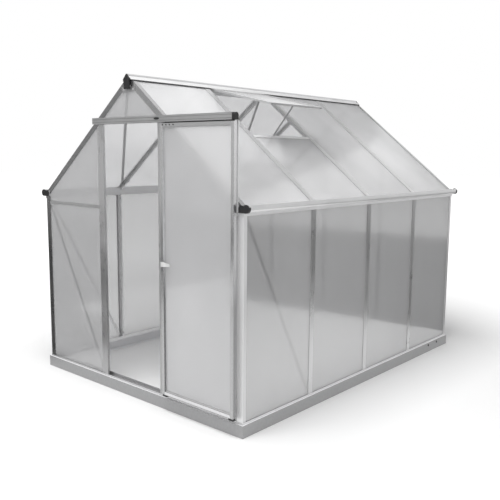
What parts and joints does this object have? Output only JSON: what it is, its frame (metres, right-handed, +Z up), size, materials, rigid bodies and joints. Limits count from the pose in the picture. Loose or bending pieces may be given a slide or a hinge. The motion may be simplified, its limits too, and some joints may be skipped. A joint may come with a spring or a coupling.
{
  "type": "greenhouse",
  "caption": "Small gabled greenhouse of slim metal bars and clear sheets on a folded base channel, with a hanging sliding door at the front and a propped roof vent.",
  "frame": {"origin": "on the ground under the middle of the base frame", "axes": "+Z up, +Y from the front gable with the door to the rear gable, +X to the right seen from the front"},
  "size_m": [1.9, 2.4904, 1.95],
  "materials": {
    "base_metal": "satin",
    "bar_metal": "satin",
    "flat_bar": "satin",
    "clear_sheet": "gloss",
    "black_plastic": "matte",
    "handle": "satin"
  },
  "bodies": {
    "structure": {"base_ends": "base_metal", "base_sides": "base_metal", "sill_ends": "bar_metal", "sill_sides": "bar_metal", "corner_posts": "bar_metal", "left_wall_studs": "bar_metal", "right_wall_studs": "bar_metal", "door_jambs": "bar_metal", "rear_wall_studs": "bar_metal", "gutters": "bar_metal", "gutter_end_caps": "black_plastic", "ridge_bar": "bar_metal", "ridge_end_caps": "black_plastic", "left_gable_rafters": "bar_metal", "right_gable_rafters": "bar_metal", "left_roof_rafters": "bar_metal", "right_roof_rafters": "bar_metal", "front_gable_bars": "bar_metal", "rear_gable_bars": "bar_metal", "gable_gussets": "flat_bar", "door_header_rail": "bar_metal", "header_end_cap": "black_plastic", "header_support": "flat_bar", "side_wall_braces": "flat_bar", "front_wall_braces": "flat_bar", "roof_braces": "flat_bar", "left_wall_panels": "clear_sheet", "right_wall_panels": "clear_sheet", "front_wall_panels": "clear_sheet", "rear_wall_panels": "clear_sheet", "left_roof_panels": "clear_sheet", "right_roof_panels": "clear_sheet", "vent_sill_bar": "bar_metal", "vent_frame": "bar_metal", "vent_panel": "clear_sheet", "vent_stay": "flat_bar"},
    "door": {"door_stiles": "bar_metal", "door_rails": "bar_metal", "door_panel": "clear_sheet", "door_handle": "handle", "door_hangers": "black_plastic", "door_guides": "black_plastic"}
  },
  "joints": [
    {"name": "door_slide", "type": "slide", "parent": "structure", "child": "door", "axis": [-1, 0, 0], "range_m": [0, 0.593]}
  ]
}
